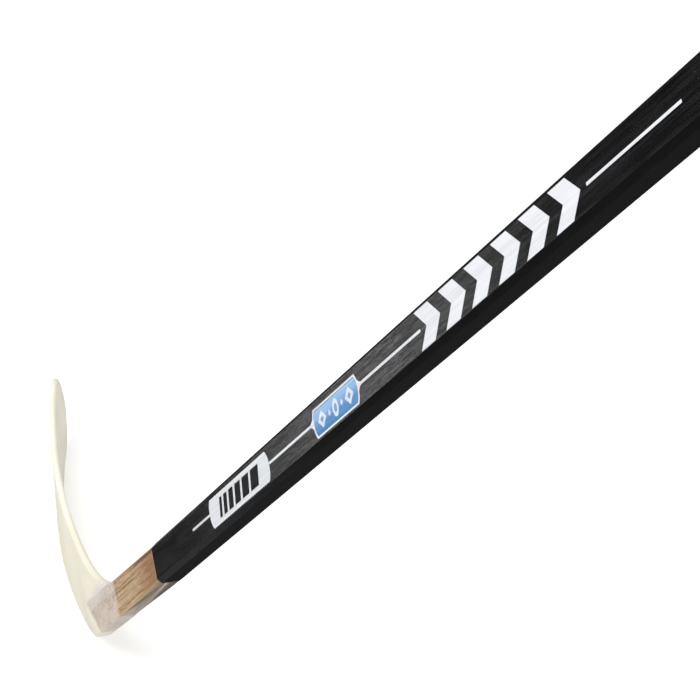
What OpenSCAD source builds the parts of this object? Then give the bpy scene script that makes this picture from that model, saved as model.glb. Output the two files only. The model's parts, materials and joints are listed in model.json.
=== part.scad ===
// Ice hockey stick: a laminated wooden shaft with a curved blade let into a slot in its lower end.
// Origin: the middle of the sole's flat, at the end of the blade's straight stretch.
// +X points to the toe, +Y is the graphics side, +Z is up, and the sole lies on z = 0.

/* [Shaft] */
// Length along the underside from the heel point to the butt end
shaft_len = 1500; // [1350:10:1600]
// Width of the two wide faces
shaft_w = 30; // [29:0.5:31]
// Thickness between the wide faces
shaft_t = 20; // [19:0.5:21]
// Leg of the bevel on each long edge
bevel = 3.25; // [2.5:0.25:3.25]
// Lie: the angle between the shaft and the ice, in degrees
lie = 47; // [45:0.5:49]
// Thickness of the black lacquer
lacquer_t = 0.25; // [0.2:0.05:0.3]
// Thickness of the glass-fibre sheet on each wide face
glass_t = 0.4; // [0.3:0.05:0.5]
// Thickness of each of the four core plies
ply_t = 3.25; // [3.2:0.05:3.25]

/* [Hosel] */
// Distance from the heel point at which the black lacquer and the glass sheets start
coat_start = 229; // [210:1:260]
// Distance from the heel point at which the bevel between the front face and the underside has died out
bevel_end = 150; // [140:1:170]
// Wood left behind the shaft's middle plane at the heel point, where the back face has tapered
hosel_back = 3.45; // [3.45:0.05:4.5]
// Height of the shaft's cut end above the sole
end_z = 33; // [31:0.5:35]
// How far the blade's tenon reaches back into the slot from the heel point
tenon_reach = 52; // [48:1:56]
// Wood left between the tenon and the shaft's underside
tenon_back = 9; // [8:0.5:11]
// Thickness of the glass sleeve bonded round the hosel
wrap_t = 0.35; // [0.3:0.05:0.4]
// Distance from the heel point to the upper edge of the glass sleeve
wrap_end = 114; // [113:1:130]

/* [Blade] */
// Length of the blade from the heel point to the toe, measured along its curve
blade_len = 318; // [300:1:320]
// Length of the straight stretch before the curve starts
straight_len = 35; // [34:1:45]
// Angle through which the blade turns between the straight stretch and the toe
curve_angle = 22; // [15:1:26]
// How early the curve turns: 1 is an even curve, 2 turns mostly near the heel
curve_bias = 1.5; // [1:0.1:2]
// Lean of the open face at the toe, in degrees
face_open = 11.6; // [5:0.2:14]
// Height of the top edge at the heel
heel_h = 51.5; // [50:0.5:56]
// Height of the top edge at the toe before the toe is rounded
toe_h = 71; // [66:0.5:74]
// Length over which the toe is rounded
toe_round = 42; // [36:1:48]
// Radius that rounds the heel between the shaft's underside and the sole
heel_round = 72; // [55:1:72]
// Rise of the sole at the toe
rocker = 4; // [2:0.5:6]
// Sole thickness at the heel
sole_t = 7.6; // [7.2:0.1:8]
// Top edge thickness at the heel
top_t = 6.8; // [6.6:0.1:7]
// Sole thickness at the toe
toe_sole_t = 5.4; // [5:0.1:6]
// Top edge thickness at the toe
toe_top_t = 4.4; // [4:0.1:5]
// Thickness of the glass skin on each face
skin_t = 0.6; // [0.4:0.05:0.7]

/* [Graphics] */
// Distance from the heel point to the lower end of the pinstripe
stripe_from = 339; // [330:1:350]
// Distance from the heel point to the upper end of the pinstripe
stripe_to = 1190; // [1150:1:1200]
// Width of the pinstripe
stripe_w = 1.7; // [1.2:0.1:2.2]
// Distance from the heel point to the middle of the light badge
badge_mid = 457; // [450:1:465]
// Length of the light badge
badge_len = 145; // [130:1:150]
// Height of the light badge
badge_h = 20; // [16:0.5:20.5]
// Distance from the heel point to the middle of the blue badge
shield_mid = 672; // [660:1:690]
// Length of the blue badge, with its border
shield_len = 90; // [80:1:92]
// Height of the blue badge, with its border
shield_h = 18.4; // [16:0.2:19]
// Width of the blue badge's border
border_w = 1.3; // [1:0.1:1.6]
// Distance from the heel point to the lower end of the row of chevrons
emblem_from = 824; // [815:1:835]
// Distance from the heel point to the upper end of the row of chevrons
emblem_to = 1070; // [1050:1:1090]
// Height of the chevrons across the face
emblem_h = 22.6; // [18:0.2:23]

/* [Hidden] */
// Clearance between the tenon and its slot, and between the blade's pieces and the shaft
glue = 0.1;
// Distance from the heel point, where the underside's line meets the ice, to the origin
datum = straight_len;
// Steps along the blade's curve
blade_steps = 34;
// Steps along the rounded toe
toe_steps = 14;
// Height of the rim below the blade core at the middle of the blade
rim_mid = 8;
// Height of the rim below the blade core at the toe
rim_toe = 4;
// Height of the rim along the top edge
rim_top = 4;
// Distances from the heel point between which the rim loses the cut end's height
rim_fall = [40, 120];
// Reach of the moulded fillet on the blade's front face, at the cut end
fairing_low = 44;
// Reach of that fillet at the crotch
fairing_high = 22;
// How far below the lacquer's edge the bevels reach their full depth
bevel_lead = 3;
// How far below the lacquer's edge the back face starts to taper
taper_lead = 9;
// Thickness of the back veneer's blunt lower edge, where the taper has planed it away
planed_edge = 0.4;
// How far past the heel point the toe-side bevels would die out
toe_bevel_end = 70;
// Distance from the heel point at which the blade starts to lean
lean_start = 10;
// Smallest spacing between two stations of a loft
min_gap = 3;
// Height of the rim's top on the toe-side face, above the top edge's height at the heel
crotch_rise = 8;
// Where the rim's top joins the top edge
crotch_out_x = 20;

// ---------- the shaft's own frame ----------

// Places children built with x toward the toe side, y toward the graphics side and z up the shaft
module on_shaft()
  translate([-datum, 0, 0])
    rotate([0, lie - 90, 0])
      translate([shaft_w / 2, 0, 0])
        children();

// Leg of the bevel on a section set in by d from the shaft's surface
function inset_leg(d) = bevel - d * (2 - sqrt(2));

// The shaft's bevelled section, set in by d
module shaft_section(d) {
  x = shaft_w / 2 - d;
  y = shaft_t / 2 - d;
  b = inset_leg(d);
  polygon([
    [x, y - b], [x - b, y], [b - x, y], [-x, y - b],
    [-x, b - y], [b - x, -y], [x - b, -y], [x, b - y]
  ]);
}

// Half the thickness of the bare wood
wood_half = shaft_t / 2 - lacquer_t;
// Half the thickness of the wood under the glass sheets
veneer_half = wood_half - glass_t;
// Half the thickness of the four core plies together
core_half = 2 * ply_t;
// Width of the bare wood
wood_w = shaft_w - 2 * lacquer_t;

// Where the back face starts to taper
taper_top = coat_start - taper_lead;
// Where the bevels reach their full depth
bevel_top = coat_start - bevel_lead;
// Depth of a full bevel on bare wood
bevel_depth = inset_leg(lacquer_t) / sqrt(2);
// Depth of the bevel on the tapered back, a little less so that it takes over below the taper's start
taper_bevel = bevel_depth - 0.1;

// Everything that the taper takes off the back of the hosel, with the bevel along its lower edge
module back_taper() {
  slope = atan((wood_half - hosel_back) / taper_top);
  mirror([0, 1, 0])
    translate([0, wood_half, taper_top])
      rotate([-slope, 0, 0]) {
        translate([-shaft_w, 0, -2 * taper_top])
          cube([2 * shaft_w, shaft_t, 2 * taper_top]);
        translate([-wood_w / 2, 0, -2 * taper_top])
          rotate([0, 0, 135])
            translate([-taper_bevel, -shaft_t, 0])
              cube([shaft_w, 2 * shaft_t, 3 * taper_top]);
      }
}

// The wedge that fades one bevel in, from nothing at distance start, and carries it to the butt
module bevel_cut(toe_side, front, start) {
  fade = atan(bevel_depth / (bevel_top - start));
  mirror([toe_side ? 0 : 1, 0, 0])
    mirror([0, front ? 0 : 1, 0])
      translate([wood_w / 2, wood_half, start])
        rotate([0, 0, 45])
          intersection() {
            rotate([0, -fade, 0])
              translate([0, -shaft_t, 0])
                cube([shaft_w * 2, shaft_t * 2, shaft_len * 1.1]);
            translate([-bevel_depth, -shaft_t, -1])
              cube([shaft_w * 2, shaft_t * 2, shaft_len * 1.1]);
          }
}

// The full bevel between the back face and the underside, over the whole length
module back_underside_bevel()
  translate([-wood_w / 2, -wood_half, -1])
    rotate([0, 0, 45])
      translate([-shaft_w, -shaft_t, 0])
        cube([shaft_w + bevel_depth, 2 * shaft_t, shaft_len * 1.1]);

// Every bevel, and the hosel's taper
module shaft_cuts() {
  bevel_cut(false, true, bevel_end);
  back_underside_bevel();
  bevel_cut(true, true, -toe_bevel_end);
  bevel_cut(true, false, -toe_bevel_end);
  back_taper();
}

// One layer of the shaft between two depths across its thickness, cut to the shape of the hosel
module wood_layer(y_from, y_to) {
  difference() {
    on_shaft()
      difference() {
        translate([-wood_w / 2, y_from, 0])
          cube([wood_w, y_to - y_from, shaft_len]);
        shaft_cuts();
      }
    below_cut_end();
  }
}

// Everything below the shaft's cut end, which is parallel to the sole
module below_cut_end()
  translate([-datum - 2 * shaft_w, -shaft_t, -shaft_w])
    cube([4 * shaft_w, 2 * shaft_t, shaft_w + end_z]);

// ---------- lines of the hosel in the x-z plane ----------

// Height at x of the line that runs up the shaft at distance t from its underside
function shaft_line(x, t) = t * cos(lie) + (t * sin(lie) - x) * tan(lie);
// The x at which that line has height z
function shaft_line_x(z, t) = t * sin(lie) - (z - t * cos(lie)) / tan(lie);

// Distance from the underside to the toe-side face of the bare wood
toe_face = shaft_w / 2 + wood_w / 2;

// The slot, open on the toe side and at the cut end, set out by g
module slot_outline(g) {
  polygon([
    [-tenon_reach - g, shaft_line(-tenon_reach - g, tenon_back - g)],
    [-tenon_reach - g, shaft_line(-tenon_reach - g, shaft_w * 1.5)],
    [shaft_w * 2, end_z],
    [shaft_w * 2, 0],
    [shaft_line_x(0, tenon_back - g), 0]
  ]);
}

// The slot cut through the two middle plies
module slot() {
  translate([-datum, shaft_t, 0])
    rotate([90, 0, 0])
      linear_extrude(2 * shaft_t)
        slot_outline(glue);
}

// ---------- shaft pieces ----------

// The four core plies, from the back to the front; the two middle ones are slotted for the blade
module core_ply_1() color("#c9a878") wood_layer(-2 * ply_t, -ply_t);

module core_ply_2() color("#bd9a6c")
  difference() {
    wood_layer(-ply_t, 0);
    slot();
  }

module core_ply_3() color("#c9a878")
  difference() {
    wood_layer(0, ply_t);
    slot();
  }

module core_ply_4() color("#bd9a6c") wood_layer(ply_t, 2 * ply_t);

// Where the back veneer's lower edge lies
planed_end = taper_top * (core_half + planed_edge - hosel_back) / (wood_half - hosel_back);

// The outer ply of one side, planed down where the glass sheet is let in
module veneer(side) {
  front = side > 0;
  difference() {
    wood_layer(front ? core_half : -wood_half, front ? wood_half : -core_half);
    on_shaft()
      mirror([0, front ? 0 : 1, 0])
        translate([-shaft_w, veneer_half, coat_start])
          cube([2 * shaft_w, shaft_t, shaft_len]);
    if (!front)
      on_shaft()
        translate([-shaft_w, -shaft_t, -1])
          cube([2 * shaft_w, shaft_t, planed_end + 1]);
  }
}

module front_veneer() color("#a98256") veneer(1);

module back_veneer() color("#a98256") veneer(-1);

// The glass sheet of one side, between the veneer and the lacquer
module glass_sheet(side) {
  on_shaft()
    mirror([0, side < 0 ? 1 : 0, 0])
      translate([0, 0, coat_start])
        linear_extrude(shaft_len - coat_start)
          intersection() {
            shaft_section(lacquer_t);
            translate([-shaft_w / 2, veneer_half]) square([shaft_w, glass_t]);
          }
}

module front_glass_sheet() color("#3a3b38") glass_sheet(1);

module back_glass_sheet() color("#3a3b38") glass_sheet(-1);

// The black lacquer round the shaft, recessed for the graphics
module shaft_lacquer() color("#1d1d1f")
  on_shaft()
    difference() {
      translate([0, 0, coat_start])
        linear_extrude(shaft_len - coat_start)
          difference() {
            shaft_section(0);
            shaft_section(lacquer_t);
          }
      for (side = [1, -1]) on_face(side) artwork();
    }

// A glass sleeve over the underside and both wide faces of the hosel, open on the toe side
module heel_wrap() color("#c9c5bb")
  difference() {
    on_shaft()
      difference() {
        sleeve_blank(wrap_t);
        intersection() {
          sleeve_blank(0);
          translate([-wood_w / 2, -shaft_t, -1])
            cube([2 * shaft_w, 2 * shaft_t, wrap_end + 2]);
        }
      }
    below_cut_end();
  }

// The hosel up to the sleeve's edge, grown by g on three sides
module sleeve_blank(g) {
  difference() {
    translate([-wood_w / 2 - g, -wood_half - g, 0])
      cube([wood_w + g, 2 * (wood_half + g), wrap_end + (g > 0 ? 0 : 1)]);
    translate([-g, -g, 0]) back_taper();
  }
}

// ---------- the blade's curved frame ----------

// Heading of the blade at distance l from the heel point
function heading(l) =
  let (u = max(0, min(1, (l - straight_len) / (blade_len - straight_len))))
  curve_angle * (1 - pow(1 - u, curve_bias));

// Length of one step along the centre line
step_len = blade_len / blade_steps;
// The blade's centre line, stepped from the heel point
function centre_sum(n, i = 0, p = [0, 0]) =
  i == n ? p
  : let (a = heading((i + 0.5) * step_len))
    centre_sum(n, i + 1, p + step_len * [cos(a), -sin(a)]);
CENTRE = [for (i = [0 : blade_steps]) centre_sum(i)];

// Point of the centre line at distance l, also behind the heel point
function centre(l) =
  l <= 0 ? [l, 0]
  : let (i = min(blade_steps - 1, floor(l / step_len)), f = l / step_len - i)
    CENTRE[i] * (1 - f) + CENTRE[i + 1] * f;

// How far the open face leans the blade over at distance l and height z
function lean(l, z) = z * tan(face_open) * max(0, l - lean_start) / (blade_len - lean_start);

// A point on the blade: distance l from the heel point, height z, offset d toward the graphics side
function on_blade(l, z, d) =
  let (a = heading(l), o = d + lean(l, z), c = centre(l))
  [c.x + o * sin(a) - datum, c.y + o * cos(a), z];

// ---------- the blade's outline ----------

// Power of the toe's rounded outline: 2 is an ellipse
toe_power = 2.2;
// 0 before the rounded toe, rising to 1 at the tip
function toe_part(l, end) =
  let (u = max(0, min(1, (l - end + toe_round) / toe_round)))
  1 - sqrt(max(0, 1 - pow(u, toe_power)));
// The height at which the rounded toe closes
toe_mid = toe_h * 0.5;
// Share of that height that the sole covers
toe_rise = 0.86;
// Share of the way down to that height that the top edge covers
toe_drop = 0.9;
// Height of the sole without the rounded heel
function ice_z(l, end) =
  let (v = max(0, l / blade_len - 0.5) * 2)
  rocker * v * v + toe_mid * toe_rise * toe_part(l, end);
// Height of the top edge
function edge_z(l, end) =
  let (h = heel_h + (toe_h - heel_h) * l / blade_len)
  h - (h - toe_mid) * toe_drop * toe_part(l, end);
// Where the heel's arc meets the sole
heel_flat = heel_round * tan(lie / 2);
// Where the heel's arc meets the underside's line
heel_arc = -heel_flat * cos(lie);
// Height that the rounded heel adds to the sole
function heel_z(l) =
  l < heel_arc ? shaft_line(l, 0)
  : l < heel_flat ? heel_round - sqrt(pow(heel_round, 2) - pow(heel_flat - l, 2))
  : 0;
// Height of the blade's lower outline
function sole_z(l, end) = ice_z(l, end) + heel_z(l);
// Height of the rim at distance l: the cut end's height at the heel, less along the blade
function rim_h(l) =
  let (u = max(0, min(1, (l - rim_fall[0]) / (rim_fall[1] - rim_fall[0]))))
  let (v = max(0, min(1, (l - rim_fall[1]) / (blade_len - rim_fall[1]))))
  end_z + (rim_mid - end_z) * u + (rim_toe - rim_mid) * v;

// Half thickness at the sole
function sole_half(l) = (sole_t + (toe_sole_t - sole_t) * max(0, l) / blade_len) / 2;
// Half thickness at the top edge
function top_half(l) = (top_t + (toe_top_t - top_t) * max(0, l) / blade_len) / 2;

// The end of the core, inside the rim
core_end = blade_len - rim_toe;
// Height of the rim's top on the toe-side face
crotch_z = heel_h + crotch_rise;
// Where the outside of the rim's top starts on the toe-side face
crotch_x = shaft_line_x(crotch_z, toe_face + glue);
// Where its inside starts
crotch_in_x = shaft_line_x(crotch_z - rim_top, toe_face + glue);
// Where the core's lower edge leaves the slot
slot_x = shaft_line_x(end_z, tenon_back);
// Where the toe-side face meets the cut end
toe_face_x = shaft_line_x(end_z, toe_face + glue);

// Height of the core's lower edge
function core_low(l) =
  l < slot_x ? shaft_line(l, tenon_back)
  : ice_z(l, core_end) + rim_h(l);
// Slope of the core's upper edge between the toe-side face and the top edge
crotch_slope = (edge_z(crotch_out_x, core_end) - crotch_z) / (crotch_out_x - crotch_in_x);
// Height of the core's upper edge
function core_high(l) =
  l < crotch_in_x ? shaft_line(l, toe_face)
  : l < crotch_out_x ? crotch_z - rim_top + crotch_slope * (l - crotch_in_x)
  : edge_z(l, core_end) - rim_top;

// Share of the rounded toe that the core reaches into
toe_share = 0.985;
// Stations from distance a to the core's end, closer together round the toe
function stations(a) =
  let (straight = core_end - toe_round, step = straight / blade_steps)
  [
    a,
    for (i = [1 : blade_steps]) if (i * step > a + min_gap) i * step,
    for (i = [1 : toe_steps]) straight + toe_round * sin(90 * i / toe_steps) * toe_share
  ];

// Stations of the blade's faces, from just past the crotch
function face_stations() =
  concat([crotch_in_x + min_gap, (crotch_in_x + toe_face_x) / 2], stations(toe_face_x));

// Faces of a loft through n four-cornered sections
function loft_faces(n) = [
  [0, 1, 2], [0, 2, 3],
  for (i = [0 : n - 2])
    let (a = 4 * i, c = a + 4)
    each [
      [a + 1, c + 2, a + 2], [a + 1, c + 1, c + 2],
      [a, a + 3, c + 3], [a, c + 3, c],
      [a + 2, c + 2, c + 3], [a + 2, c + 3, a + 3],
      [a, c, c + 1], [a, c + 1, a + 1]
    ],
  [4 * n - 4, 4 * n - 2, 4 * n - 3], [4 * n - 4, 4 * n - 1, 4 * n - 2]
];

// A loft from a list of sections, each [low back, low front, high front, high back]
module loft(sections) {
  polyhedron([for (s = sections) each s], loft_faces(len(sections)), convexity = 6);
}

// A section of the core or of a skin at distance l, between two shares of its half thickness
function section(l, low, high, from, to) = [
  on_blade(l, low, from.x), on_blade(l, low, to.x),
  on_blade(l, high, to.y), on_blade(l, high, from.y)
];

// ---------- blade pieces ----------

// The blade's core, with the tenon that fills the slot
module blade_core() color("#e6dcc0")
  loft([
    for (l = concat([-tenon_reach, slot_x, crotch_in_x], face_stations()))
      let (h = [sole_half(l) - skin_t, top_half(l) - skin_t])
      section(l, core_low(l), core_high(l), -h, h)
  ]);

// Height of a skin's lower edge, which follows the toe-side face and then the rim
function skin_low(l) = max(core_low(l), shaft_line(l, toe_face + glue));

// The glass skin on one face of the core
module blade_skin(side) {
  loft([
    for (l = face_stations())
      let (o = [sole_half(l), top_half(l)], i = o - [skin_t, skin_t])
      section(l, skin_low(l), core_high(l), side > 0 ? i : -o, side > 0 ? o : -i)
  ]);
}

module blade_front_skin() color("#ece5cf") blade_skin(1);

module blade_back_skin() color("#ece5cf") blade_skin(-1);

// Half thickness of the tapered hosel behind the middle plane, at distance s up the shaft
function back_half(s) = hosel_back + (wood_half - hosel_back) * s / taper_top;

// Share of the hosel's section left in the rim at distance l, past the toe-side face
function hosel_share(l) =
  let (u = max(0, min(1, (l - toe_face_x) / fairing_low)))
  1 - u * (2 - u);

// Half thicknesses of the rim's inside, behind and in front, where it meets the cut end and the core
function inner_half(l) =
  let (s = end_z * sin(lie) - min(l, toe_face_x) * cos(lie), w = hosel_share(l), h = sole_half(l))
  [h + (back_half(s) - h) * w, h + (wood_half - h) * w];

// Half thicknesses of its outside, which are the blade's on the ice and the hosel's where the heel rises
function outer_half(l) =
  let (h = sole_half(l), f = heel_z(l) / end_z, i = inner_half(l))
  [h + (i[0] - h) * f, h + (i[1] - h) * f];

// One section of the rim from its inside to its outside, given as points [l, z] and half thicknesses
function rim_section(in, in_half, out, out_half) = [
  on_blade(in.x, in.y, -in_half[0]), on_blade(in.x, in.y, in_half[1]),
  on_blade(out.x, out.y, out_half[1]), on_blade(out.x, out.y, -out_half[0])
];

// Distance of the rim's outside for the same station of the core
function outer_l(l) = l + rim_toe * max(0, min(1, (l - core_end + toe_round) / toe_round));

// The rim runs from the heel along the sole, round the toe and back along the top edge
module blade_rim() {
  heel_x = shaft_line_x(end_z, 0) + glue;
  heel_steps = 10;
  low = stations(toe_face_x);
  high = [for (i = [len(low) - 1 : -1 : 0]) low[i]];
  top = [top_half(0), top_half(0)];
  color("#efe9d6")
    loft([
      for (i = [1 : heel_steps])
        let (l = heel_x + (toe_face_x - heel_x) * i / (heel_steps + 1))
        rim_section([l, end_z - glue], inner_half(l), [l, sole_z(l, blade_len)], outer_half(l)),
      for (l = low)
        let (out = outer_l(l))
        rim_section([l, core_low(l) - glue], inner_half(l), [out, sole_z(out, blade_len)], outer_half(out)),
      for (l = high)
        let (out = outer_l(l), h = [top_half(l), top_half(l)])
        rim_section([l, core_high(l) + glue], h, [out, edge_z(out, blade_len)], h),
      rim_section([crotch_in_x, crotch_z - rim_top + glue], top, [crotch_x, crotch_z], top)
    ]);
}

// Height of the fillet's top
fairing_top = crotch_z - rim_top;
// Thickness of its thin outer edge
fairing_edge = 0.15;
// Steps along it
fairing_steps = 14;

// Share of the fillet's reach at distance l and height z, from 0 on the toe-side face to 1 at its edge
function fairing_share(l, z) =
  let (up = (z - end_z) / (fairing_top - end_z), reach = fairing_low + (fairing_high - fairing_low) * up)
  max(0, min(1, (l - shaft_line_x(z, toe_face + glue)) / reach));

// Offset of its hollow outer surface
function fairing_half(l, z) =
  let (inside = sole_half(l) + glue, left = 1 - fairing_share(l, z))
  inside + fairing_edge + (wood_half - lean(l, z) - inside - fairing_edge) * left * left;

// A moulded fillet between the shaft's front face and the blade's
module front_fairing() {
  z_low = end_z + glue;
  start = shaft_line_x(fairing_top, toe_face + glue);
  end = toe_face_x + fairing_low;
  slope = (fairing_top - z_low) / (end - start - fairing_high);
  first = start + min_gap;
  last = end - min_gap;
  color("#e9e2cb")
    loft([
      for (i = [0 : fairing_steps])
        let (
          l = first + (last - first) * i / fairing_steps,
          low = max(z_low, shaft_line(l, toe_face + glue)),
          high = min(fairing_top, z_low + (end - l) * slope),
          inside = sole_half(l) + glue
        )
        section(l, low, high, [inside, inside], [fairing_half(l, low), fairing_half(l, high)])
    ]);
}

// Height at which the bead in the crotch leaves the toe-side face
filler_z = 97;
// Where it leaves that face
filler_start = shaft_line_x(filler_z, toe_face + glue);
// Where it dies out on the top edge
filler_end = 40;
// Steepness of its hollow upper surface
filler_rise = (filler_z - edge_z(filler_start, blade_len)) / pow(filler_end - filler_start, 2);
// Its width as a share of the top edge's
filler_width = 0.97;
// How far its blunt ends stay clear of the points where it would thin out to nothing
filler_blunt = [8, 3];

// The bead's lower edge, which rests on the toe-side face and then on the rim's top edge
function filler_low(l) =
  let (f = (l - crotch_x) / (crotch_out_x - crotch_x), out_z = edge_z(crotch_out_x, blade_len))
  l < crotch_x ? shaft_line(l, toe_face + glue)
  : l < crotch_out_x ? crotch_z + (out_z - crotch_z) * f
  : edge_z(l, blade_len);
// The bead's hollow upper surface
function filler_high(l) = edge_z(l, blade_len) + filler_rise * pow(filler_end - l, 2);

// Points from a to b in n steps, without b
function run(a, b, n) = [for (i = [0 : n - 1]) a + (b - a) * i / n];

// A bead that fills the crotch between the toe-side face and the rim's top edge
module crotch_filler() {
  first = filler_start + filler_blunt[0];
  last = filler_end - filler_blunt[1];
  on_face = run(first, crotch_x, 6);
  on_rim = concat(run(crotch_x, crotch_out_x, 5), run(crotch_out_x, last, 3), [last]);
  color("#f3efe2")
    loft([
      for (l = concat(on_face, on_rim))
        let (h = [top_half(l), top_half(l)] * filler_width)
        section(l, filler_low(l) + 2 * glue, filler_high(l) + 2 * glue, -h, h)
    ]);
}

// ---------- graphics, inlaid flush in the lacquer ----------

// Depth of the inlays, less than the lacquer's thickness
ink_t = lacquer_t * 0.6;

// Places flat artwork, drawn with x up the shaft and y toward the toe side, on one wide face
module on_face(side)
  rotate([0, 0, side < 0 ? 180 : 0])
    translate([0, shaft_t / 2 - ink_t, 0])
      rotate([0, -90, -90])
        children();

// One inlay on one wide face
module inlay(side) on_shaft() on_face(side) linear_extrude(ink_t) children();

// Steps along half of a badge's bulging end
end_steps = 8;
// Sharpness of its corners
end_power = 2.6;

// A bar with bulging ends, between x = -len / 2 and len / 2
module bulged_bar(len, h, bulge) {
  end = [
    for (i = [-end_steps : end_steps])
      let (v = i / end_steps)
      [len / 2 - bulge * pow(abs(v), end_power), v * h / 2]
  ];
  polygon(concat(end, [for (p = end) -p]));
}

// A bar leaning toward the butt
module slanted_bar(w, h, slant)
  polygon([
    [-w / 2 - slant, -h / 2], [w / 2 - slant, -h / 2],
    [w / 2 + slant, h / 2], [-w / 2 + slant, h / 2]
  ]);

// A chevron whose point is at x = 0 and whose arms trail behind it
module chevron(w, h, depth)
  polygon([
    [0, 0], [-depth, h / 2], [-depth - w, h / 2],
    [-w, 0], [-depth - w, -h / 2], [-depth, -h / 2]
  ]);

// A diamond as wide as w and as high as h
module diamond(w, h) polygon([[w / 2, 0], [0, h / 2], [-w / 2, 0], [0, -h / 2]]);

// Offset of the light badge toward the underside
badge_drop = -0.7;
// Offset of the blue badge toward the underside
shield_drop = -1.2;
// Bulge of the light badge's ends
badge_bulge = 5;
// Bulge of the blue badge's ends
shield_bulge = 4;
// Bulge of the blue panel's ends, as a share of the badge's
panel_bulge = 0.9;
// Width of the blue badge's border at its two ends
border_end = 2.2;
// Width of the dark line between the border and the blue panel
keyline = 0.35;

// The light badge's outline
module badge_outline() translate([badge_mid, badge_drop]) bulged_bar(badge_len, badge_h, badge_bulge);

// Six slanted bars that widen toward the butt
module badge_marks() {
  bars = 6;
  gap = 4.2;
  narrowest = 6;
  growth = 2.5;
  slant = 2.6;
  height = badge_h * 0.66;
  // Where bar i starts, counted from the first
  function start(i) = i * (narrowest + gap) + growth * i * (i - 1) / 2;
  total = start(bars) - gap;
  translate([badge_mid, badge_drop])
    for (i = [0 : bars - 1])
      let (w = narrowest + growth * i)
      translate([start(i) + w / 2 - total / 2, 0])
        slanted_bar(w, height, slant);
}

// The blue panel's outline, set in from the border
module shield_panel_outline(inset)
  translate([shield_mid, shield_drop])
    bulged_bar(
      shield_len - 2 * border_end - 2 * inset,
      shield_h - 2 * border_w - 2 * inset,
      shield_bulge * panel_bulge
    );

// Two rhombs with a ring between them, and a small rhomb in each gap
module shield_marks() {
  mark_h = shield_h * 0.6;
  rhomb_x = shield_len * 0.3;
  dot_x = shield_len * 0.135;
  dot_w = 4.5;
  translate([shield_mid, shield_drop]) {
    difference() {
      circle(d = mark_h, $fn = 64);
      circle(d = mark_h * 0.5, $fn = 64);
    }
    for (x = [-1, 1]) {
      translate([x * rhomb_x, 0])
        difference() {
          diamond(mark_h * 1.5, mark_h);
          diamond(mark_h * 0.6, mark_h * 0.4);
        }
      translate([x * dot_x, 0]) diamond(dot_w, dot_w);
    }
  }
}

// Reach of the flares that join the pinstripe to the blue badge
flare_reach = 6.8;
// Their half height on the badge, beyond the pinstripe's
flare_base = 3;
// Their sharpness
flare_power = 0.42;
// How far a flare stands out at offset y across the face
function flare(y) =
  flare_reach * (1 - pow(max(0, min(1, (abs(y) - stripe_w / 2) / flare_base)), flare_power));

// The blue badge's outside: bulging ends, each with a flare in the middle
module shield_outline() {
  half_h = shield_h / 2;
  flare_h = stripe_w / 2 + flare_base;
  flare_steps = 6;
  // Clear of the flare's own points
  clear = flare_h + 0.3;
  all = [for (i = [-end_steps : end_steps]) shield_drop + i * half_h / end_steps];
  heights = concat(
    [for (y = all) if (y < -clear) y],
    [for (i = [-flare_steps : flare_steps]) flare_h * i / flare_steps],
    [for (y = all) if (y > clear) y]
  );
  end = [
    for (y = heights)
      [shield_len / 2 - shield_bulge * pow(abs(y - shield_drop) / half_h, end_power) + flare(y), y]
  ];
  back = [for (i = [len(end) - 1 : -1 : 0]) [-end[i].x, end[i].y]];
  translate([shield_mid, 0]) polygon(concat(end, back));
}

// The blue badge's white border, with its inlaid edge against the panel
module shield_border() {
  difference() {
    shield_outline();
    shield_panel_outline(0);
  }
}

// A row of chevrons that point to the butt
module chevron_row() {
  chevrons = 6;
  pitch = (emblem_to - emblem_from) / chevrons;
  arm = pitch * 0.56;
  depth = pitch * 0.36;
  for (i = [1 : chevrons])
    translate([emblem_from + pitch * (i - 0.04), 0])
      chevron(arm, emblem_h, depth);
}

// The pinstripe's four stretches, with a small gap at each badge
module pinstripe() {
  gap = 0.15;
  // Clearance between the stripe and the row of chevrons
  emblem_gap = 6;
  badge_half = badge_len / 2 + gap;
  shield_half = shield_len / 2 + flare_reach + gap;
  stretches = [
    [stripe_from, badge_mid - badge_half],
    [badge_mid + badge_half, shield_mid - shield_half],
    [shield_mid + shield_half, emblem_from + emblem_gap],
    [emblem_to + emblem_gap, stripe_to]
  ];
  for (s = stretches)
    translate([s[0], -stripe_w / 2]) square([s[1] - s[0], stripe_w]);
}

// Everything that is let into one wide face
module artwork()
  linear_extrude(2 * lacquer_t) {
    pinstripe();
    badge_outline();
    shield_border();
    shield_panel_outline(keyline);
    chevron_row();
  }

// The light badge round its marks
module badge_field(side)
  inlay(side)
    difference() {
      badge_outline();
      badge_marks();
    }

// The blue panel round its marks
module shield_field(side)
  inlay(side)
    difference() {
      shield_panel_outline(keyline);
      shield_marks();
    }

module front_pinstripe() color("#e9e9ea") inlay(1) pinstripe();
module front_badge() color("#dcdfe3") badge_field(1);
module front_badge_marks() color("#222224") inlay(1) badge_marks();
module front_shield_border() color("#ececee") inlay(1) shield_border();
module front_shield_panel() color("#5d9bd6") shield_field(1);
module front_shield_marks() color("#e6eaf0") inlay(1) shield_marks();
module front_chevrons() color("#ececee") inlay(1) chevron_row();
module back_pinstripe() color("#e9e9ea") inlay(-1) pinstripe();
module back_badge() color("#dcdfe3") badge_field(-1);
module back_badge_marks() color("#222224") inlay(-1) badge_marks();
module back_shield_border() color("#ececee") inlay(-1) shield_border();
module back_shield_panel() color("#5d9bd6") shield_field(-1);
module back_shield_marks() color("#e6eaf0") inlay(-1) shield_marks();
module back_chevrons() color("#ececee") inlay(-1) chevron_row();

// ---------- the stick ----------

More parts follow.
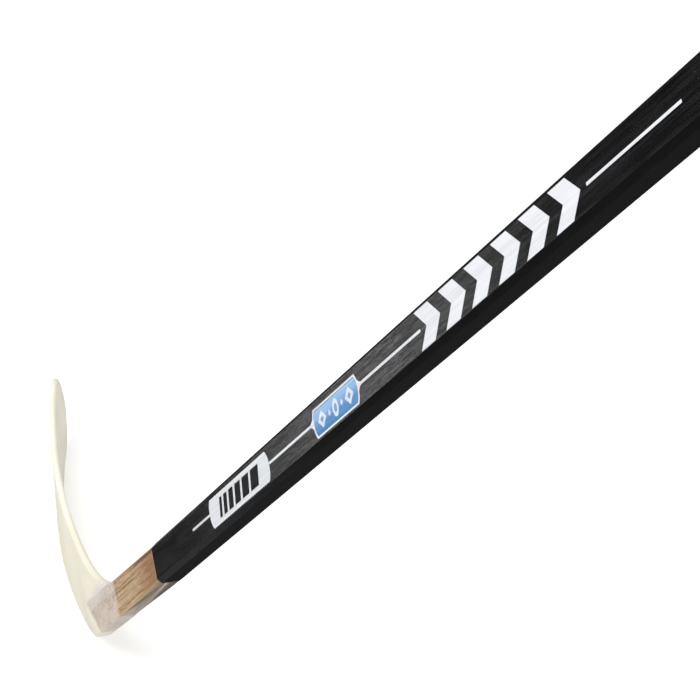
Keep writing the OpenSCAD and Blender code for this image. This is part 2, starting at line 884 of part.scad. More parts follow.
core_ply_1();
core_ply_2();
core_ply_3();
core_ply_4();
front_veneer();
back_veneer();
front_glass_sheet();
back_glass_sheet();
shaft_lacquer();
heel_wrap();
blade_core();
blade_front_skin();
blade_back_skin();
blade_rim();
front_fairing();
crotch_filler();
front_pinstripe();
front_badge();
front_badge_marks();
front_shield_border();
front_shield_panel();
front_shield_marks();
front_chevrons();
back_pinstripe();
back_badge();
back_badge_marks();
back_shield_border();
back_shield_panel();
back_shield_marks();
back_chevrons();
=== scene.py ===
import json
import math

import bmesh
import bpy
import numpy as np
from mathutils import Matrix, Vector, noise

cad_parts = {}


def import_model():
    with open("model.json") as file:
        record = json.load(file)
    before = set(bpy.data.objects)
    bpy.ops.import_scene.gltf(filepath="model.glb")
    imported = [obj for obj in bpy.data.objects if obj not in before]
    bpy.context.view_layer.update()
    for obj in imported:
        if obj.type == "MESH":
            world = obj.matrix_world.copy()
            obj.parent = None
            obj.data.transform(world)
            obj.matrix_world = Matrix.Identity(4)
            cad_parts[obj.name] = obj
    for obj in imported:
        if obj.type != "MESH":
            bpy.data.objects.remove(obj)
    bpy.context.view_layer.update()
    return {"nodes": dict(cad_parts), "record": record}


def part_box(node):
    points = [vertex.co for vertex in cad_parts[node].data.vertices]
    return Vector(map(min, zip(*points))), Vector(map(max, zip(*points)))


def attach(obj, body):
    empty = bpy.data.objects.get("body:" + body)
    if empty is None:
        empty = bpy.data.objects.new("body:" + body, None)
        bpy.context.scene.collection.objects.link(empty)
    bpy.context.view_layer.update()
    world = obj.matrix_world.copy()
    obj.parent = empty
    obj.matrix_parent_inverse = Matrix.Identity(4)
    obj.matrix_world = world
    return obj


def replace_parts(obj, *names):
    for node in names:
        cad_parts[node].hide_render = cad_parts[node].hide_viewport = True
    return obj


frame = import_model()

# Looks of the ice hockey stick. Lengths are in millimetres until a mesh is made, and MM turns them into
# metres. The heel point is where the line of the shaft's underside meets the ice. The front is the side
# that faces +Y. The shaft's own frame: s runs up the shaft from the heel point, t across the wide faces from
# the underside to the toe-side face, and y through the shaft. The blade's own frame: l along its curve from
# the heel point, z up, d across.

MM = 0.001
TO_MM = 1000.0
NODES = frame["nodes"]
MOUNTS = {m["name"]: m for m in frame["record"]["mounts"]}

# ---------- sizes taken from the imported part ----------

SHAFT_W = 30.0
BUTT = Vector(MOUNTS["butt_end"]["pos_m"])
UP_SHAFT = Vector(MOUNTS["butt_end"]["axis"]).normalized()
ACROSS = Vector((UP_SHAFT.z, 0, -UP_SHAFT.x))
LIE = math.atan2(UP_SHAFT.z, -UP_SHAFT.x)
SHAFT_T = (MOUNTS["grip_front"]["pos_m"][1] - MOUNTS["grip_back"]["pos_m"][1]) / MM
UNDERSIDE = Vector((BUTT.x, 0, BUTT.z)) - ACROSS * (SHAFT_W / 2 * MM)
HEEL_POINT = UNDERSIDE - UP_SHAFT * (UNDERSIDE.z / UP_SHAFT.z)
DATUM = -HEEL_POINT.x / MM
END_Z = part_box("heel_wrap")[0].z / MM

# ---------- the blade's shape ----------

LACQUER = 0.25
WOOD_HALF = SHAFT_T / 2 - LACQUER
TOE_FACE = SHAFT_W - LACQUER
# Half thickness behind the middle plane at the heel point, and how far up the shaft the back tapers
HOSEL_BACK = 3.45
TAPER_TOP = 220.0
# Leg of a full bevel on bare wood, and the distance at which the toe-side bevels would have died out
BEVEL = 3.1
TOE_BEVEL_END = -70.0
BLADE_LEN = 317.9
STRAIGHT = 35.0
CURVE = math.radians(22)
CURVE_BIAS = 1.5
# Slope of the open face at the toe, and where it starts to grow
OPEN_SLOPE = math.tan(math.radians(11.6))
LEAN_START = 10.0
HEEL_H = 51.5
TOE_H = 71.0
TOE_ROUND = 42.0
TIP_Z = 36.5
ROCKER = 4.0
# How square the toe is: 2 would be a quarter of an ellipse
TOE_POWER = 2.2
# Half thickness at the heel and at the toe, along the sole and along the top edge
SOLE_HALF = (3.8, 2.7)
TOP_HALF = (3.4, 2.2)
# The least half thickness that the rounded outline keeps
THIN_HALF = 0.12


def clamp(v, low=0.0, high=1.0):
    return max(low, min(high, v))


def smooth(v):
    v = clamp(v)
    return v * v * (3 - 2 * v)


def lerp(a, b, f):
    return a + (b - a) * f


def line_z(x, t):
    """Height at x of the line that runs up the shaft at distance t from its underside."""
    return t * math.cos(LIE) + (t * math.sin(LIE) - x) * math.tan(LIE)


def line_x(z, t):
    return t * math.sin(LIE) - (z - t * math.cos(LIE)) / math.tan(LIE)


def up_at(x, z):
    """Distance up the shaft of the point (x, z)."""
    return -x * math.cos(LIE) + z * math.sin(LIE)


def heading(l):
    u = clamp((l - STRAIGHT) / (BLADE_LEN - STRAIGHT))
    return CURVE * (1 - (1 - u) ** CURVE_BIAS)


def centre_table(steps=636):
    step = BLADE_LEN / steps
    points = [(0.0, 0.0)]
    for i in range(steps):
        a = heading((i + 0.5) * step)
        x, y = points[-1]
        points.append((x + step * math.cos(a), y - step * math.sin(a)))
    return np.linspace(0, BLADE_LEN, steps + 1), np.array(points)


CENTRE_L, CENTRE = centre_table()


def lean(l, z):
    """How far the open face leans the blade over toward the graphics side."""
    return z * OPEN_SLOPE * max(0.0, l - LEAN_START) / (BLADE_LEN - LEAN_START)


def on_blade(l, z, d):
    """The point at distance l from the heel point, height z and offset d toward the front, in metres."""
    a = heading(l)
    o = d + lean(l, z)
    x = np.interp(l, CENTRE_L, CENTRE[:, 0]) if l > 0 else l
    y = np.interp(l, CENTRE_L, CENTRE[:, 1]) if l > 0 else 0.0
    return ((x + o * math.sin(a) - DATUM) * MM, (y + o * math.cos(a)) * MM, z * MM)


def toe_part(l):
    u = clamp((l - BLADE_LEN + TOE_ROUND) / TOE_ROUND)
    return 1 - math.sqrt(max(0.0, 1 - u ** TOE_POWER))


# The heel's arc, from the underside's line to the flat sole
HEEL_ROUND = 80.0
HEEL_FLAT = HEEL_ROUND * math.tan(LIE / 2)
HEEL_ARC = -HEEL_FLAT * math.cos(LIE)


def heel_z(l):
    """Height of the rounded heel above the sole."""
    if l < HEEL_ARC:
        return line_z(l, 0)
    if l < HEEL_FLAT:
        return HEEL_ROUND - math.sqrt(HEEL_ROUND ** 2 - (HEEL_FLAT - l) ** 2)
    return 0.0


def sole_z(l):
    rise = ROCKER * max(0.0, 2 * l / BLADE_LEN - 1) ** 2
    return rise + (TIP_Z - rise) * toe_part(l) + heel_z(l)


# The bead in the crotch: where it leaves the shaft, and where it dies out on the top edge
BEAD_Z = 97.0
BEAD_START = line_x(BEAD_Z, TOE_FACE)
BEAD_END = 44.0


def plain_edge_z(l):
    h = HEEL_H + (TOE_H - HEEL_H) * l / BLADE_LEN
    return h - (h - TIP_Z) * toe_part(l)


BEAD_RISE = (BEAD_Z - plain_edge_z(BEAD_START)) / (BEAD_END - BEAD_START) ** 2


def edge_z(l):
    return plain_edge_z(l) + BEAD_RISE * max(0.0, BEAD_END - l) ** 2


# Where the toe-side face and the underside meet the cut end
CORNER = line_x(END_Z, TOE_FACE)
HEEL_X = line_x(END_Z, 0)

# How far the cheeks stand proud of the bare wood, and the flare's reach at the cut end and at the top
FLUSH = 0.3
FLARE_LOW = 46.0
FLARE_HIGH = 25.0
# How fast the flare dies out along the blade, and how fast it grows from the sole to the cut end
FLARE_POWER = 2.2
RISE_POWER = 1.4


def back_half(s):
    """Half thickness of the tapered hosel behind its middle plane."""
    return lerp(HOSEL_BACK, WOOD_HALF, min(1.0, s / TAPER_TOP))


def toe_bevel(s):
    """Leg of the toe-side bevels, which die out very slowly toward the heel."""
    return BEVEL * clamp((s - TOE_BEVEL_END) / (TAPER_TOP - TOE_BEVEL_END))


def cheek_half(l, z, back):
    """Half thickness of the sleeved hosel beside the point (l, z)."""
    if not back:
        return WOOD_HALF + FLUSH
    zc = max(z, END_Z)
    return back_half(up_at(min(l, line_x(zc, TOE_FACE)), zc)) + FLUSH


def half_at(l, z, low, high, back):
    """Half thickness of the blade with square edges, and with the flare that meets the hosel's cheeks."""
    f = clamp((z - low) / max(1.0, high - low))
    along = max(0.0, l) / BLADE_LEN
    blade = lerp(lerp(*SOLE_HALF, along), lerp(*TOP_HALF, along), f)
    zc = max(z, END_Z)
    reach = lerp(FLARE_LOW, FLARE_HIGH, smooth((zc - END_Z) / (HEEL_H - END_Z)))
    t = clamp((l - line_x(zc, TOE_FACE)) / reach)
    rise = math.sin(math.pi / 2 * clamp(z / END_Z)) ** RISE_POWER
    return blade + (cheek_half(l, z, back) - blade) * rise * (1 - t) ** FLARE_POWER


# Radii of the blade's outer edge: along the sole, at the heel's corner, and along the toe and the top
SOLE_ROUND = 2.0
HEEL_CORNER_ROUND = 1.0
TOP_ROUND = 3.4
# Where the sole's radius starts to grow, and the length it takes
TOE_SOFT_FROM = 200.0
TOE_SOFT_LEN = 100.0


def outline():
    """The blade's outer edge as rows of l, z, the radius it is rounded to and the leg of the back bevel."""
    rows = []
    toe_l = [BLADE_LEN - TOE_ROUND * (1 - math.sin(math.pi / 2 * i / 160)) for i in range(161)]
    plain_l = list(np.linspace(HEEL_FLAT, BLADE_LEN - TOE_ROUND, 420))
    for l in list(np.linspace(HEEL_X, HEEL_FLAT, 140)) + plain_l + toe_l:
        z = sole_z(l)
        near = smooth(heel_z(l) / END_Z)
        sole_round = lerp(SOLE_ROUND, HEEL_CORNER_ROUND, near)
        r = lerp(sole_round, TOP_ROUND, smooth((l - TOE_SOFT_FROM) / TOE_SOFT_LEN))
        rows.append((l, z, r, BEVEL * near))
    for l in list(np.linspace(BEAD_START, HEEL_FLAT, 160)) + plain_l + toe_l:
        rows.append((l, edge_z(l), TOP_ROUND, 0.0))
    return np.array(rows)


OUTLINE = outline()


def rounded_half(l, z, low, high, back=False):
    """Half thickness at a point of the blade, its outline rounded and the back's lower corner bevelled."""
    h = half_at(l, z, low, high, back)
    gap = np.hypot(OUTLINE[:, 0] - l, OUTLINE[:, 1] - z)
    k = int(gap.argmin())
    r = min(OUTLINE[k, 2], h)
    round_h = h - r + r * math.sqrt(1 - (1 - min(1.0, gap[k] / r)) ** 2)
    bevel_h = h - max(0.0, OUTLINE[k, 3] - gap[k]) if back else h
    return max(THIN_HALF, min(round_h, bevel_h))


# Rows of points below and above the level of the cut end, and how many of them round the edge
LOW_ROWS = 12
HIGH_ROWS = 26
ROUND_ROWS = 7
# Depth of those rounding rows at the sole and at the top
LOW_DEPTH = 1.6
HIGH_DEPTH = 3.6
# How far short of their sharp ends the strip, the bead and the toe's tip stop
STRIP_INSET = 0.3
BEAD_INSET = 0.8
TIP_INSET = 0.01


def eased(r, count):
    return [r * (1 - math.cos(math.pi / 2 * j / count)) for j in range(count + 1)]


def low_rows(low, mid):
    r = min(LOW_DEPTH, (mid - low) / 3)
    start = [low + v for v in eased(r, ROUND_ROWS)]
    rest = LOW_ROWS - ROUND_ROWS
    return start + [lerp(start[-1], mid, (j + 1) / rest) for j in range(rest)]


def high_rows(mid, high):
    r = min(HIGH_DEPTH, (high - mid) / 3)
    end = [high - v for v in eased(r, ROUND_ROWS)][::-1]
    rest = HIGH_ROWS - ROUND_ROWS
    return [lerp(mid, end[0], j / rest) for j in range(rest)] + end


def both_sides(columns):
    """Points of a strip of columns on the front and on the back. A column is rows of l and z."""
    front, back = [], []
    for column in columns:
        low, high = column[0][2], column[0][3]
        f, b = [], []
        for l, z, _, _ in column:
            f.append(on_blade(l, z, rounded_half(l, z, low, high)))
            b.append(on_blade(l, z, -rounded_half(l, z, low, high, True)))
        front.append(f)
        back.append(b)
    return front, back


def body_columns():
    share = (END_Z - sole_z(CORNER)) / (edge_z(CORNER) - sole_z(CORNER))
    stations = list(np.linspace(CORNER, BLADE_LEN - TOE_ROUND, 84))
    stations += [BLADE_LEN - TOE_ROUND * (1 - math.sin(math.pi / 2 * i / 30)) for i in range(1, 30)]
    stations.append(BLADE_LEN - TIP_INSET)
    columns = []
    for l in stations:
        low, high = sole_z(l), edge_z(l)
        mid = low + (high - low) * share
        columns.append([(l, z, low, high) for z in low_rows(low, mid)[:-1] + high_rows(mid, high)])
    return columns


def strip_columns(n=34):
    """The strip under the shaft's cut end, from the heel to the corner."""
    high = edge_z(CORNER)
    out = []
    for i in range(n + 1):
        l = lerp(HEEL_X + STRIP_INSET, CORNER, (i / n) ** 1.2)
        out.append([(l, z, sole_z(l), high) for z in low_rows(sole_z(l), END_Z)])
    return out


def crotch_columns(n=34):
    """The part over the shaft's toe-side face, from the crotch to the corner."""
    out = []
    for i in range(n + 1):
        l = lerp(BEAD_START + BEAD_INSET, CORNER, (i / n) ** 1.3)
        mid, high = line_z(l, TOE_FACE), edge_z(l)
        out.append([(l, z, 0.0, high) for z in high_rows(mid, high)])
    return out


class Skin:
    """Collects vertices and quads, and welds them into one mesh object."""

    def __init__(self):
        self.points = []
        self.faces = []

    def grid(self, columns, flip=False):
        start = len(self.points)
        rows = len(columns[0])
        for column in columns:
            self.points.extend(column)
        for i in range(len(columns) - 1):
            for j in range(rows - 1):
                a = start + i * rows + j
                quad = (a, a + rows, a + rows + 1, a + 1)
                self.faces.append(quad[::-1] if flip else quad)

    def build(self, name, sharp_deg=50):
        mesh = bpy.data.meshes.new(name)
        mesh.from_pydata(self.points, [], self.faces)
        clean(mesh)
        mesh.shade_smooth()
        mesh.set_sharp_from_angle(angle=math.radians(sharp_deg))
        piece = bpy.data.objects.new(name, mesh)
        bpy.context.scene.collection.objects.link(piece)
        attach(piece, "root")
        return piece


def clean(mesh, weld=0.00001):
    bm = bmesh.new()
    bm.from_mesh(mesh)
    bmesh.ops.remove_doubles(bm, verts=bm.verts, dist=weld)
    bmesh.ops.dissolve_degenerate(bm, edges=bm.edges, dist=weld / 2)
    bmesh.ops.recalc_face_normals(bm, faces=bm.faces)
    bm.to_mesh(mesh)
    bm.free()
    mesh.update()


def blade():
    skin = Skin()
    body_f, body_b = both_sides(body_columns())
    strip_f, strip_b = both_sides(strip_columns())
    crotch_f, crotch_b = both_sides(crotch_columns())
    for front, back in ((body_f, body_b), (strip_f, strip_b), (crotch_f, crotch_b)):
        skin.grid(front)
        skin.grid(back, True)
    # Sole, top edge, and the hidden faces against the shaft
    for front, back, row in (
        (body_f, body_b, 0), (body_f, body_b, -1), (strip_f, strip_b, 0),
        (strip_f, strip_b, -1), (crotch_f, crotch_b, 0), (crotch_f, crotch_b, -1),
    ):
        skin.grid([[f[row], b[row]] for f, b in zip(front, back)])
    # The toe tip, the heel's back and the tip of the bead
    for f, b in ((body_f[-1], body_b[-1]), (strip_f[0], strip_b[0]), (crotch_f[0], crotch_b[0])):
        skin.grid([f, b])
    piece = skin.build("blade_shell")
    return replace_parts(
        piece, "blade_rim", "blade_front_skin", "blade_back_skin", "front_fairing", "crotch_filler"
    )


# ---------- the glass sleeve round the hosel ----------

SLEEVE_TOP = 114.0
# Offsets from the bare wood: of the sleeve's outer face, of its inner face, and what the outer one gains
# toward the top
SLEEVE_T = 0.31
FILM_T = 0.02
FILM_GAIN = 0.04
# The share of its height where the sleeve starts to thin
THIN_FROM = 0.86
# The front lower corner's radius, as a multiple of the offset and at most
CORNER_SHARE = 2.6
CORNER_MOST = 1.0
# How much an outward offset of 1 shortens the leg of a 45-degree bevel
BEVEL_SHIFT = 0.59
# Where the sleeve starts to follow the toe-side bevels, above the fillet, and the length it takes
FOLD_FROM = 72.0
FOLD_LEN = 34.0


def on_shaft(s, t, y):
    p = HEEL_POINT + UP_SHAFT * (s * MM) + ACROSS * (t * MM)
    return (p.x, y * MM, p.z)


def sleeve_path(n_face=34, n_bevel=5, n_arc=6, n_under=14):
    """Steps round the hosel as (kind, share), from the front toe-side bevel round to the back one."""
    path = [("front_toe", i / n_bevel) for i in range(n_bevel)]
    path += [("front", i / n_face) for i in range(n_face)]
    path += [("front_corner", i / n_arc) for i in range(n_arc)]
    path += [("under", i / n_under) for i in range(n_under)]
    path += [("back_bevel", i / n_bevel) for i in range(n_bevel)]
    path += [("back", i / n_face) for i in range(n_face)]
    path += [("back_toe", i / n_bevel) for i in range(n_bevel + 1)]
    return path


def sleeve_point(kind, share, s, film):
    """Distance across the shaft, and offset through it, of a step of the path at distance s."""
    front, back = WOOD_HALF + film, back_half(s) + film
    low = LACQUER - film
    corner = min(CORNER_MOST, CORNER_SHARE * film)
    toe = toe_bevel(s) * smooth((s - FOLD_FROM) / FOLD_LEN)
    bevel = BEVEL - BEVEL_SHIFT * film
    if kind == "front_toe":
        return TOE_FACE - toe * share, front - toe * (1 - share)
    if kind == "front":
        return lerp(TOE_FACE - toe, low + corner, share), front
    if kind == "front_corner":
        a = share * math.pi / 2
        return low + corner * (1 - math.sin(a)), front - corner * (1 - math.cos(a))
    if kind == "under":
        return low, lerp(front - corner, bevel - back, share)
    if kind == "back_bevel":
        return low + bevel * share, bevel * (1 - share) - back
    if kind == "back":
        return lerp(low + bevel, TOE_FACE - toe, share), -back
    return TOE_FACE - toe * (1 - share), toe * share - back


# How far the frayed edge lies below SLEEVE_TOP on average, and the size of its slow and of its quick waves
EDGE_DROP = 2.0
EDGE_SWING = 4.0
EDGE_FRAY = 1.8


def sleeve_edge(k):
    """Distance up the shaft of the sleeve's frayed edge, for step k of the path."""
    slow = noise.noise(Vector((k * 0.11, 3.1, 0.0)))
    quick = noise.noise(Vector((k * 0.83, 7.7, 0.0)))
    return SLEEVE_TOP - EDGE_DROP + EDGE_SWING * slow + EDGE_FRAY * quick


def outer_film(v):
    """Offset of the sleeve's outer face at the share v of its height."""
    full = 1 - smooth((v - THIN_FROM) / (1 - THIN_FROM))
    return FILM_T + (SLEEVE_T - FILM_T) * full + FILM_GAIN * v


def sleeve_columns(inner, rows=40):
    columns = []
    for k, (kind, share) in enumerate(sleeve_path()):
        column = []
        for j in range(rows + 1):
            v = j / rows
            film = FILM_T if inner else outer_film(v)
            t, _ = sleeve_point(kind, share, END_Z, film)
            low = (END_Z - t * math.cos(LIE)) / math.sin(LIE)
            s = lerp(low, sleeve_edge(k), v)
            t, y = sleeve_point(kind, share, s, film)
            column.append(on_shaft(s, t, y))
        columns.append(column)
    return columns


def sleeve():
    outer, inner = sleeve_columns(False), sleeve_columns(True)
    skin = Skin()
    skin.grid(outer)
    skin.grid(inner, True)
    for row in (0, -1):
        skin.grid([[o[row], i[row]] for o, i in zip(outer, inner)])
    for o, i in ((outer[0], inner[0]), (outer[-1], inner[-1])):
        skin.grid([o, i])
    piece = skin.build("glass_sleeve", 60)
    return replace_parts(piece, "heel_wrap")


# ---------- materials ----------


def linear(code):
    """A colour written as six hexadecimal digits, as linear RGBA."""
    parts = [int(code[i:i + 2], 16) / 255 for i in (0, 2, 4)]
    return tuple(p / 12.92 if p <= 0.04045 else ((p + 0.055) / 1.055) ** 2.4 for p in parts) + (1.0,)


class Nodes:
    """A node tree, built with short calls. An input is a number, a tuple or another node's output."""

    def __init__(self, tree):
        self.tree = tree
        tree.nodes.clear()

    def put(self, socket, value):
        if isinstance(value, bpy.types.NodeSocket):
            self.tree.links.new(value, socket)
        else:
            socket.default_value = value

    def add(self, kind, inputs=(), output=0, **settings):
        n = self.tree.nodes.new("ShaderNode" + kind)
        for key, value in settings.items():
            setattr(n, key, value)
        for key, value in dict(inputs).items():
            self.put(n.inputs[key], value)
        return n.outputs[output] if n.outputs else None

    def math(self, op, a, b=0.0, c=0.0):
        return self.add("Math", {0: a, 1: b, 2: c}, operation=op)

    def dot(self, vector, axis):
        return self.add("VectorMath", {0: vector, 1: tuple(axis)}, 1, operation="DOT_PRODUCT")

    def ramp(self, value, low, high, at_low, at_high):
        """Smooth passage from at_low, at and below low, to at_high, at and above high."""
        inputs = {0: value, 1: low, 2: high, 3: at_low, 4: at_high}
        return self.add("MapRange", inputs, interpolation_type="SMOOTHSTEP")

    def step(self, value, low, high):
        """0 below low, 1 above high, smooth between; falls instead of rising when low is above high."""
        if low > high:
            return self.ramp(value, high, low, 1.0, 0.0)
        return self.ramp(value, low, high, 0.0, 1.0)


class Shader(Nodes):
    """A material with one principled surface."""

    def __init__(self, name):
        self.mat = bpy.data.materials.new(name)
        self.mat.use_nodes = True
        super().__init__(self.mat.node_tree)
        self.bsdf = self.tree.nodes.new("ShaderNodeBsdfPrincipled")
        self.add("OutputMaterial", {0: self.bsdf.outputs[0]})

    def mix(self, share, a, b):
        n = self.tree.nodes.new("ShaderNodeMix")
        n.data_type = "RGBA"
        self.put(n.inputs[0], share)
        self.put(n.inputs[6], a)
        self.put(n.inputs[7], b)
        return n.outputs[2]

    def noise(self, vector, scale, detail=3.0, rough=0.55, bend=0.0):
        inputs = {"Vector": vector, "Scale": scale, "Detail": detail}
        return self.add("TexNoise", {**inputs, "Roughness": rough, "Distortion": bend})

    def finish(self, **inputs):
        for key, value in inputs.items():
            self.put(self.bsdf.inputs[key.replace("_", " ")], value)
        return self.mat

    def bump(self, height, strength, distance):
        return self.add("Bump", {"Height": height, "Strength": strength, "Distance": distance})

    def place(self):
        return self.add("TexCoord", output=3)

    def normal(self):
        return self.add("NewGeometry", output=1)

    def shaft(self):
        """t, y and s of the shaded point, in millimetres."""
        p = self.add("VectorMath", {0: self.place(), 1: tuple(HEEL_POINT)}, operation="SUBTRACT")
        t = self.math("MULTIPLY", self.dot(p, ACROSS), TO_MM)
        y = self.math("MULTIPLY", self.dot(p, (0, 1, 0)), TO_MM)
        s = self.math("MULTIPLY", self.dot(p, UP_SHAFT), TO_MM)
        return t, y, s

    def stretch(self, t, y, s, across, along):
        """A texture vector squeezed across the shaft and drawn out along it."""
        parts = {0: self.math("MULTIPLY", t, across), 1: self.math("MULTIPLY", y, across)}
        parts[2] = self.math("MULTIPLY", s, along)
        return self.add("CombineXYZ", parts)


def sideways(sh):
    """1 where a face looks along Y, about 0.7 on the bevels, 0 on the narrow faces."""
    return sh.math("ABSOLUTE", sh.dot(sh.normal(), (0, 1, 0)))


def wide_mask(sh):
    """1 on the two wide faces, 0 on the bevels and the narrow faces."""
    return sh.step(sideways(sh), 0.86, 0.94)


def under_mask(sh):
    """1 on faces that look down from the underside."""
    return sh.step(sh.dot(sh.normal(), ACROSS), -0.45, -0.8)


def end_mask(sh):
    """1 on faces sawn across the shaft."""
    return sh.step(sh.math("ABSOLUTE", sh.dot(sh.normal(), UP_SHAFT)), 0.8, 0.9)


def fibres(sh, t, y, s):
    """Fine lengthwise fibres with a few coarser ones."""
    fine = sh.noise(sh.stretch(t, y, s, 0.95, 0.012), 1.0, 4.0, 0.7)
    coarse = sh.noise(sh.stretch(t, y, s, 0.4, 0.006), 1.0, 3.0, 0.6, 0.2)
    return sh.math("ADD", sh.math("MULTIPLY", fine, 0.7), sh.math("MULTIPLY", coarse, 0.3))


def specks(sh, vector, scale, size):
    """Scattered small dots."""
    far = sh.add("TexVoronoi", {"Vector": vector, "Scale": scale, "Randomness": 1.0})
    pick = sh.step(sh.noise(vector, scale * 0.45, 2.0), 0.62, 0.7)
    return sh.math("MULTIPLY", sh.step(far, size, size * 0.5), pick)


def lacquer():
    sh = Shader("black_lacquer")
    t, y, s = sh.shaft()
    wide = wide_mask(sh)
    f = fibres(sh, t, y, s)
    lines = sh.math("MULTIPLY", sh.step(f, 0.42, 0.6), wide)
    place = sh.stretch(t, y, s, 1.0, 1.0)
    peel = sh.noise(place, 0.9, 2.0)
    dust = specks(sh, place, 0.35, 0.16)
    tone = sh.mix(lines, linear("0b0b0c"), linear("202021"))
    cloud = sh.math("MULTIPLY", sh.step(sh.noise(place, 0.03, 2.0), 0.45, 0.7), 0.4)
    tone = sh.mix(cloud, tone, linear("151516"))
    # Painted highlight: the bevels turn lighter grey toward the hosel, standing in for the light they
    # reflect there.
    painted_highlight_bevels = sh.math("MULTIPLY", sh.step(sideways(sh), 0.5374, 0.6505), sh.math("SUBTRACT", 1.0, wide))
    near = sh.math("MULTIPLY", painted_highlight_bevels, sh.step(s, 700.0, 260.0))
    tone = sh.mix(sh.math("MULTIPLY", near, 0.7), tone, linear("333334"))
    tone = sh.mix(sh.math("MULTIPLY", dust, 0.35), tone, linear("77777a"))
    ripple = sh.math("MULTIPLY_ADD", wide, -0.1, 0.12)
    height = sh.math("ADD", sh.math("MULTIPLY", f, wide), sh.math("MULTIPLY", peel, ripple))
    smoother = sh.math("MULTIPLY_ADD", wide, -0.25, 0.34)
    rough = sh.math("MULTIPLY_ADD", lines, 0.06, smoother)
    bundles = sh.noise(sh.stretch(t, y, s, 0.5, 0.022), 1.0, 3.0, 0.62, 0.2)
    gleam = sh.math("MULTIPLY_ADD", sh.step(bundles, 0.4, 0.62), 0.75, 0.18)
    shine = sh.math("MULTIPLY_ADD", wide, sh.math("SUBTRACT", gleam, 0.5), 0.5)
    return sh.finish(
        Base_Color=tone, Roughness=rough, Normal=sh.bump(height, 0.5, 0.0004), Specular_IOR_Level=shine
    )


def ink(name, top, low=None, wear=0.14):
    """Printed ink over the fibres. With two colours it fades across the shaft from the toe side down."""
    sh = Shader(name)
    t, y, s = sh.shaft()
    f = fibres(sh, t, y, s)
    place = sh.stretch(t, y, s, 1.0, 1.0)
    tone = linear(top)
    if low:
        tone = sh.mix(sh.step(t, SHAFT_W * 0.8, SHAFT_W * 0.2), linear(top), linear(low))
    show = sh.math("MULTIPLY", sh.step(f, 0.58, 0.4), wear)
    tone = sh.mix(show, tone, linear("4a4b4e"))
    pinholes = specks(sh, place, 1.6, 0.2)
    tone = sh.mix(sh.math("MULTIPLY", pinholes, 0.5), tone, linear("3a3a3c"))
    rough = sh.math("ADD", 0.36, sh.math("MULTIPLY", f, 0.15))
    normal = sh.bump(f, 0.3, 0.0003)
    return sh.finish(Base_Color=tone, Roughness=rough, Normal=normal, Specular_IOR_Level=0.4)


def wood_tone(sh, t, y, s, pale, mid, dark):
    """Long grain: broad bands, thin dark streaks and pores."""
    bend = sh.noise(sh.stretch(t, y, s, 0.05, 0.008), 1.0, 2.0)
    shift = sh.math("ADD", t, sh.math("MULTIPLY", bend, 7.0))
    band = sh.noise(sh.stretch(shift, y, s, 0.4, 0.005), 1.0, 3.0, 0.55, 0.3)
    streak = sh.noise(sh.stretch(shift, y, s, 1.1, 0.008), 1.0, 4.0, 0.65, 0.25)
    pore = sh.noise(sh.stretch(t, y, s, 3.0, 0.045), 1.0, 2.0, 0.6)
    tone = sh.mix(sh.step(band, 0.4, 0.6), linear(pale), linear(mid))
    tone = sh.mix(sh.math("MULTIPLY", sh.step(streak, 0.5, 0.62), 0.85), tone, linear(dark))
    tone = sh.mix(sh.math("MULTIPLY", sh.step(pore, 0.54, 0.66), 0.35), tone, linear(dark))
    return tone, sh.math("ADD", streak, sh.math("MULTIPLY", pore, 0.6))


def under_tone(sh, t, y, s):
    """The narrow face under the shaft: grey-brown, darker toward the lacquer, milky toward the heel."""
    vein = sh.noise(sh.stretch(t, y, s, 0.5, 0.008), 1.0, 4.0, 0.62, 0.3)
    fine = sh.noise(sh.stretch(t, y, s, 1.5, 0.02), 1.0, 3.0, 0.65)
    tone = sh.mix(sh.step(vein, 0.4, 0.6), linear("978b79"), linear("74685a"))
    tone = sh.mix(sh.math("MULTIPLY", sh.step(fine, 0.5, 0.64), 0.5), tone, linear("b1a898"))
    near = sh.step(s, 168.0, 224.0)
    tone = sh.mix(sh.math("MULTIPLY", near, 0.55), tone, linear("7d6e5a"))
    slant = sh.math("MULTIPLY_ADD", s, -0.045, y)
    # Painted shade: a dark wedge on the bevel facet by the lacquer's end, where that facet lies in shade.
    painted_shade_wedge = sh.math("MULTIPLY", sh.step(slant, -8.6, -11.4), sh.step(s, 130.0, 180.0))
    tone = sh.mix(sh.math("MULTIPLY", painted_shade_wedge, 0.6), tone, linear("544839"))
    line = sh.step(sh.math("ABSOLUTE", sh.math("ADD", slant, 7.4)), 0.9, 0.3)
    tone = sh.mix(sh.math("MULTIPLY", sh.math("MULTIPLY", line, near), 0.6), tone, linear("d8d0c3"))
    milky = sh.math("MULTIPLY", sh.step(s, 172.0, 96.0), sh.step(fine, 0.36, 0.56))
    tone = sh.mix(sh.math("MULTIPLY", milky, 0.7), tone, linear("cdc5bc"))
    corner = sh.step(y, 7.4, 9.2)
    return sh.mix(sh.math("MULTIPLY", corner, 0.55), tone, linear("c0a27a"))


def with_under(sh, t, y, s, tone):
    """The given tone, and the grey-brown one on faces that look down the underside."""
    return sh.mix(under_mask(sh), tone, under_tone(sh, t, y, s))


def rings(sh, t, y, pale, dark):
    """Growth rings and pores on a sawn end."""
    far = sh.add("CombineXYZ", {0: sh.math("ADD", t, 34.0), 1: sh.math("ADD", y, 52.0)})
    wave = sh.add(
        "TexWave", {"Vector": far, "Scale": 0.32, "Distortion": 2.2, "Detail": 2.0, "Detail Scale": 0.4},
        wave_type="RINGS", rings_direction="Z",
    )
    tone = sh.mix(sh.step(wave, 0.35, 0.9), linear(pale), linear(dark))
    dots = sh.noise(sh.add("CombineXYZ", {0: t, 1: y}), 5.0, 2.0)
    return sh.mix(sh.math("MULTIPLY", sh.step(dots, 0.55, 0.7), 0.45), tone, linear(dark))


